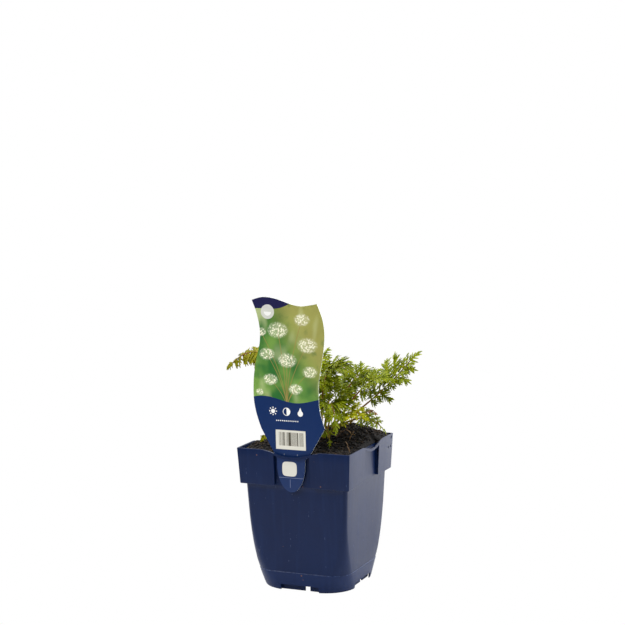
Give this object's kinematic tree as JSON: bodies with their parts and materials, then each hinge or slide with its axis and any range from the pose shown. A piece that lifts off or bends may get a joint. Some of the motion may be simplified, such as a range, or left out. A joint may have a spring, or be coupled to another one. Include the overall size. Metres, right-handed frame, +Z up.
{
  "type": "potted dwarf goat's beard",
  "caption": "Young fern-leaved perennial in a square blue nursery pot, with a wavy picture label hooked into the rim.",
  "frame": {"origin": "middle of the pot's underside, on the surface it stands on", "axes": "+Z up, the label's face looks along -Y, +X to the right as seen from the label's side"},
  "size_m": [0.1754, 0.1305, 0.2728],
  "materials": {
    "pot_plastic": "injection moulded polypropylene, satin",
    "compost": "damp crumbly peat and bark compost",
    "label_print": "printed plastic sheet, semi-gloss",
    "leaf_green": "fresh leaf, soft sheen",
    "leaf_yellow": "yellowing leaf, soft sheen",
    "leaf_bronze": "bronze-tinted leaf, soft sheen",
    "leaf_withered": "dry curled leaf, matte",
    "dried_stem": "dry brown stem, matte"
  },
  "bodies": {
    "root": {"pot": "pot_plastic", "soil": "compost", "label": "label_print", "leaf_right": "leaf_green", "leaf_upper_right": "leaf_green", "leaf_top": "leaf_green", "leaf_left": "leaf_bronze", "leaf_yellow": "leaf_yellow", "leaf_low_right": "leaf_green", "leaf_drooping_small": "leaf_green", "leaf_front_right": "leaf_green", "leaf_middle_right": "leaf_green", "leaf_middle": "leaf_green", "leaf_back_right": "leaf_green", "leaf_back": "leaf_green", "leaf_back_left": "leaf_green", "leaf_front_left": "leaf_yellow", "leaf_front": "leaf_green", "leaf_inner": "leaf_green", "leaf_withered": "leaf_withered", "dried_stem_1": "dried_stem", "dried_stem_2": "dried_stem", "dried_stem_3": "dried_stem", "dried_stem_4": "dried_stem"}
  },
  "joints": []
}
